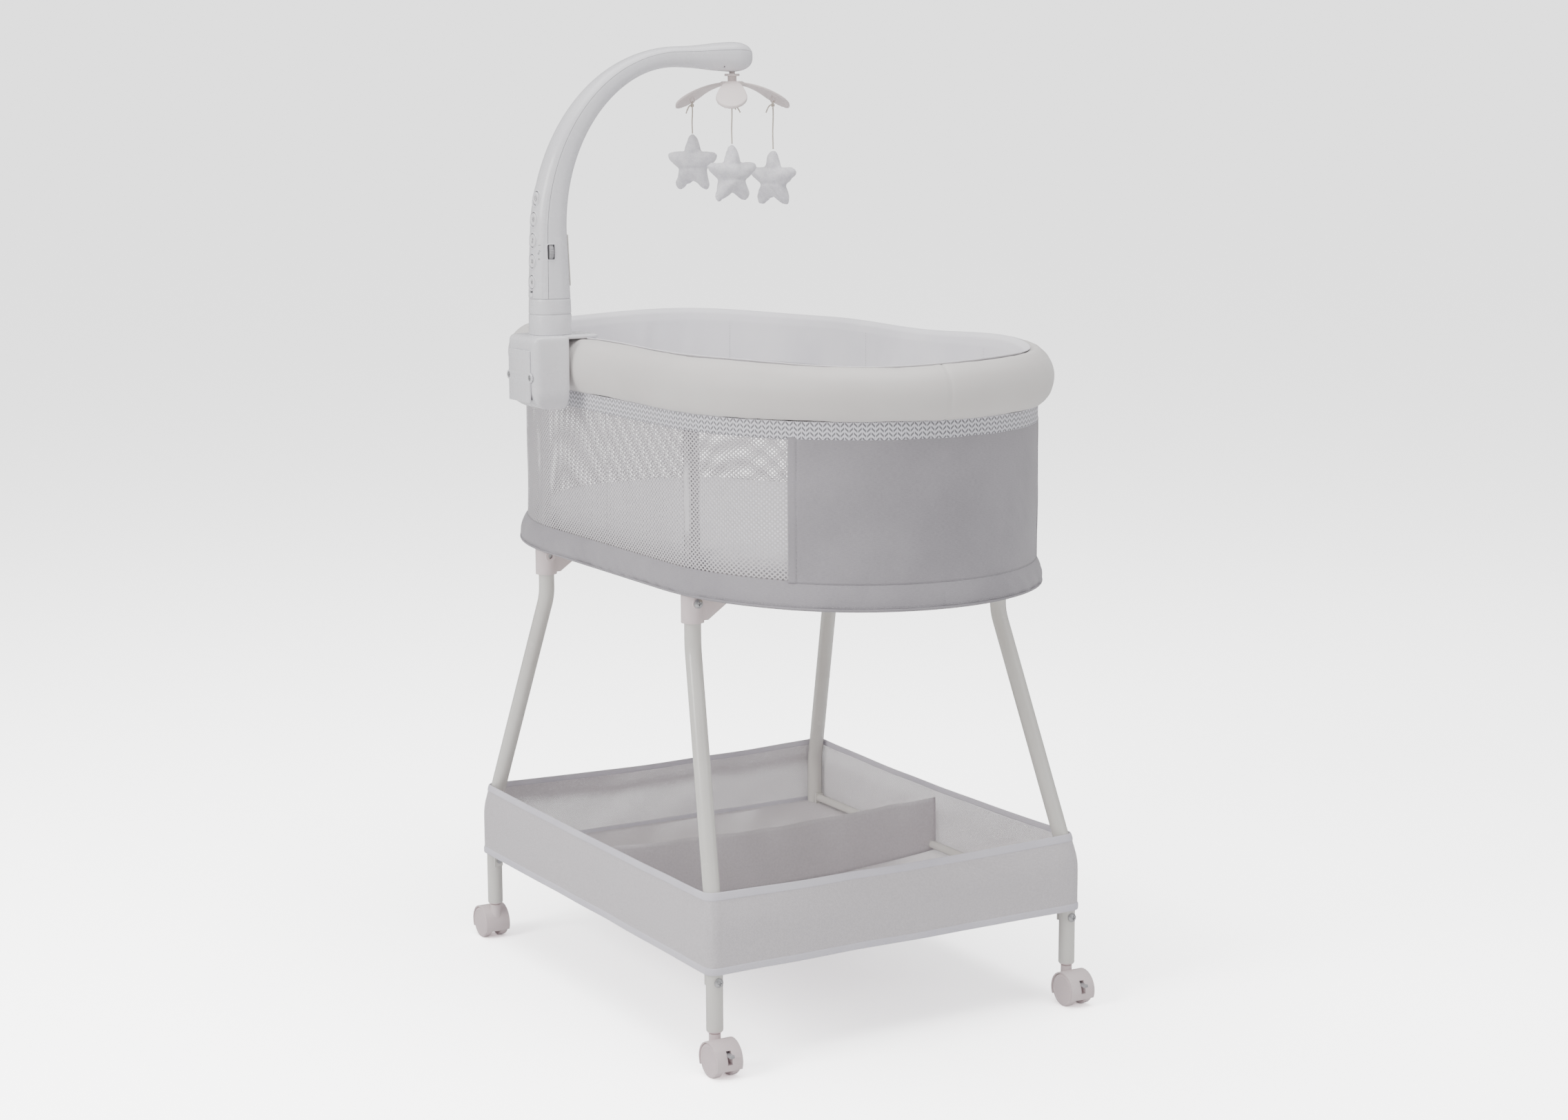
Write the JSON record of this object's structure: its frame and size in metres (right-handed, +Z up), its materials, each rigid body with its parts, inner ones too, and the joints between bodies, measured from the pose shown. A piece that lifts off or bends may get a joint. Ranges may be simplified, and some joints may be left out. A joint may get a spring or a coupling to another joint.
{
  "type": "bassinet",
  "caption": "Oval bassinet with mesh walls and a padded rim on a bent-tube stand with swivel casters, a divided fabric storage basket and a clip-on musical mobile with hanging stars.",
  "frame": {"origin": "on the floor, under the centre of the stand, midway between the four feet", "axes": "+X along the length towards the end with the grey privacy panel, +Y across the width away from the mobile's clamp, +Z up"},
  "size_m": [0.848, 0.5393, 1.1205],
  "materials": {
    "frame_paint": "gloss",
    "zinc": "brushed",
    "blush_plastic": "satin",
    "wheel_plastic": "satin",
    "fibreboard": "raw",
    "white_cloth": "woven",
    "grey_cloth": "woven",
    "trim_cloth": "printed herringbone",
    "mesh_cloth": "open net",
    "rim_cloth": "coated, soft sheen",
    "basket_mesh": "fine net",
    "binding_tape": "woven tape",
    "gloss_white": "gloss",
    "grey_plastic": "satin",
    "lens_plastic": "frosted",
    "board_green": "satin",
    "cream_plastic": "satin",
    "cord_cotton": "twisted",
    "plush": "soft pile"
  },
  "bodies": {
    "stand": {"leg_front_left": "frame_paint", "leg_front_right": "frame_paint", "leg_rear_left": "frame_paint", "leg_rear_right": "frame_paint", "side_rails": "frame_paint", "frame_bolts": "zinc", "leg_sockets": "blush_plastic", "cross_bars": "frame_paint", "caster_sleeves": "blush_plastic", "lower_frame": "frame_paint", "corner_posts": "frame_paint", "upper_frame": "frame_paint", "base_board": "fibreboard", "mattress_pad": "white_cloth", "lower_band": "grey_cloth", "mesh_wall": "mesh_cloth", "end_panel": "grey_cloth", "trim_band": "trim_cloth", "padded_rim": "rim_cloth", "inner_liner": "white_cloth", "basket_walls": "basket_mesh", "basket_binding": "binding_tape", "basket_floor": "basket_mesh", "basket_divider": "basket_mesh", "mount_housing": "gloss_white", "clamp_jaw": "gloss_white", "batteries": "zinc", "arm_base": "gloss_white"},
    "caster_front_left": {"caster_front_left": "blush_plastic"},
    "wheels_front_left": {"wheels_front_left": "wheel_plastic"},
    "caster_front_right": {"caster_front_right": "blush_plastic"},
    "wheels_front_right": {"wheels_front_right": "wheel_plastic"},
    "caster_rear_left": {"caster_rear_left": "blush_plastic"},
    "wheels_rear_left": {"wheels_rear_left": "wheel_plastic"},
    "caster_rear_right": {"caster_rear_right": "blush_plastic"},
    "wheels_rear_right": {"wheels_rear_right": "wheel_plastic"},
    "brake_front_left": {"brake_front_left": "blush_plastic"},
    "brake_front_right": {"brake_front_right": "blush_plastic"},
    "battery_door": {"battery_door": "gloss_white", "door_screws": "zinc"},
    "arm": {"arm_outer_shell": "gloss_white", "arm_inner_shell": "gloss_white", "night_light_lens": "lens_plastic", "circuit_board": "board_green", "motor": "zinc"},
    "button_timer": {"button_timer": "gloss_white"},
    "button_light": {"button_light": "gloss_white"},
    "button_music": {"button_music": "gloss_white"},
    "button_waves": {"button_waves": "gloss_white"},
    "button_spin": {"button_spin": "gloss_white"},
    "power_switch": {"power_switch": "grey_plastic"},
    "volume_wheel": {"volume_wheel": "gloss_white"},
    "mobile": {"motor_spindle": "gloss_white", "mobile_hub": "cream_plastic"},
    "star_left": {"string_left": "cord_cotton", "star_left": "plush"},
    "star_middle": {"string_middle": "cord_cotton", "star_middle": "plush"},
    "star_right": {"string_right": "cord_cotton", "star_right": "plush"}
  },
  "joints": [
    {"name": "caster_swivel_front_left", "type": "hinge", "parent": "stand", "child": "caster_front_left", "pos_m": [0.288, 0.237, 0.05], "axis": [0, 0, 1], "continuous": true},
    {"name": "wheel_roll_front_left", "type": "hinge", "parent": "caster_front_left", "child": "wheels_front_left", "pos_m": [0.3015, 0.237, 0.01925], "axis": [0, 1, 0], "continuous": true},
    {"name": "caster_swivel_front_right", "type": "hinge", "parent": "stand", "child": "caster_front_right", "pos_m": [0.288, -0.237, 0.05], "axis": [0, 0, 1], "continuous": true},
    {"name": "wheel_roll_front_right", "type": "hinge", "parent": "caster_front_right", "child": "wheels_front_right", "pos_m": [0.3015, -0.237, 0.01925], "axis": [0, 1, 0], "continuous": true},
    {"name": "caster_swivel_rear_left", "type": "hinge", "parent": "stand", "child": "caster_rear_left", "pos_m": [-0.288, 0.237, 0.05], "axis": [0, 0, 1], "continuous": true},
    {"name": "wheel_roll_rear_left", "type": "hinge", "parent": "caster_rear_left", "child": "wheels_rear_left", "pos_m": [-0.3015, 0.237, 0.01925], "axis": [0, 1, 0], "continuous": true},
    {"name": "caster_swivel_rear_right", "type": "hinge", "parent": "stand", "child": "caster_rear_right", "pos_m": [-0.288, -0.237, 0.05], "axis": [0, 0, 1], "continuous": true},
    {"name": "wheel_roll_rear_right", "type": "hinge", "parent": "caster_rear_right", "child": "wheels_rear_right", "pos_m": [-0.3015, -0.237, 0.01925], "axis": [0, 1, 0], "continuous": true},
    {"name": "brake_press_front_left", "type": "hinge", "parent": "caster_front_left", "child": "brake_front_left", "pos_m": [0.3125, 0.237, 0.027], "axis": [0, 1, 0], "range_deg": [0, 14]},
    {"name": "brake_press_front_right", "type": "hinge", "parent": "caster_front_right", "child": "brake_front_right", "pos_m": [0.3125, -0.237, 0.027], "axis": [0, 1, 0], "range_deg": [0, 14]},
    {"name": "battery_door_off", "type": "slide", "parent": "stand", "child": "battery_door", "axis": [0, -1, 0], "range_m": [0, 0.03]},
    {"name": "arm_lift_off", "type": "slide", "parent": "stand", "child": "arm", "axis": [0, 0, 1], "range_m": [0, 0.03]},
    {"name": "press_timer", "type": "slide", "parent": "arm", "child": "button_timer", "axis": [0, 1, 0], "range_m": [0, 0.0015], "stiffness_N_per_m": 400},
    {"name": "press_light", "type": "slide", "parent": "arm", "child": "button_light", "axis": [0, 1, 0], "range_m": [0, 0.0015], "stiffness_N_per_m": 400},
    {"name": "press_music", "type": "slide", "parent": "arm", "child": "button_music", "axis": [0, 1, 0], "range_m": [0, 0.0015], "stiffness_N_per_m": 400},
    {"name": "press_waves", "type": "slide", "parent": "arm", "child": "button_waves", "axis": [0, 1, 0], "range_m": [0, 0.0015], "stiffness_N_per_m": 400},
    {"name": "press_spin", "type": "slide", "parent": "arm", "child": "button_spin", "axis": [0, 1, 0], "range_m": [0, 0.0015], "stiffness_N_per_m": 400},
    {"name": "power_switch_slide", "type": "slide", "parent": "arm", "child": "power_switch", "axis": [0, 0, 1], "range_m": [0, 0.0025]},
    {"name": "volume_turn", "type": "hinge", "parent": "arm", "child": "volume_wheel", "pos_m": [-0.07, -0.251, 0.881], "axis": [0, 1, 0], "range_deg": [-135, 135]},
    {"name": "mobile_spin", "type": "hinge", "parent": "arm", "child": "mobile", "pos_m": [-0.08, 0, 1.07], "axis": [0, 0, 1], "continuous": true},
    {"name": "swing_left", "type": "hinge", "parent": "mobile", "child": "star_left", "pos_m": [-0.1285, -0.028, 1.0492], "axis": [-0.5, 0.866, 0], "range_deg": [-8, 30]},
    {"name": "swing_middle", "type": "hinge", "parent": "mobile", "child": "star_middle", "pos_m": [-0.0315, -0.028, 1.0492], "axis": [-0.5, -0.866, 0], "range_deg": [-8, 30]},
    {"name": "swing_right", "type": "hinge", "parent": "mobile", "child": "star_right", "pos_m": [-0.08, 0.056, 1.0492], "axis": [1, 0, 0], "range_deg": [-8, 30]}
  ]
}
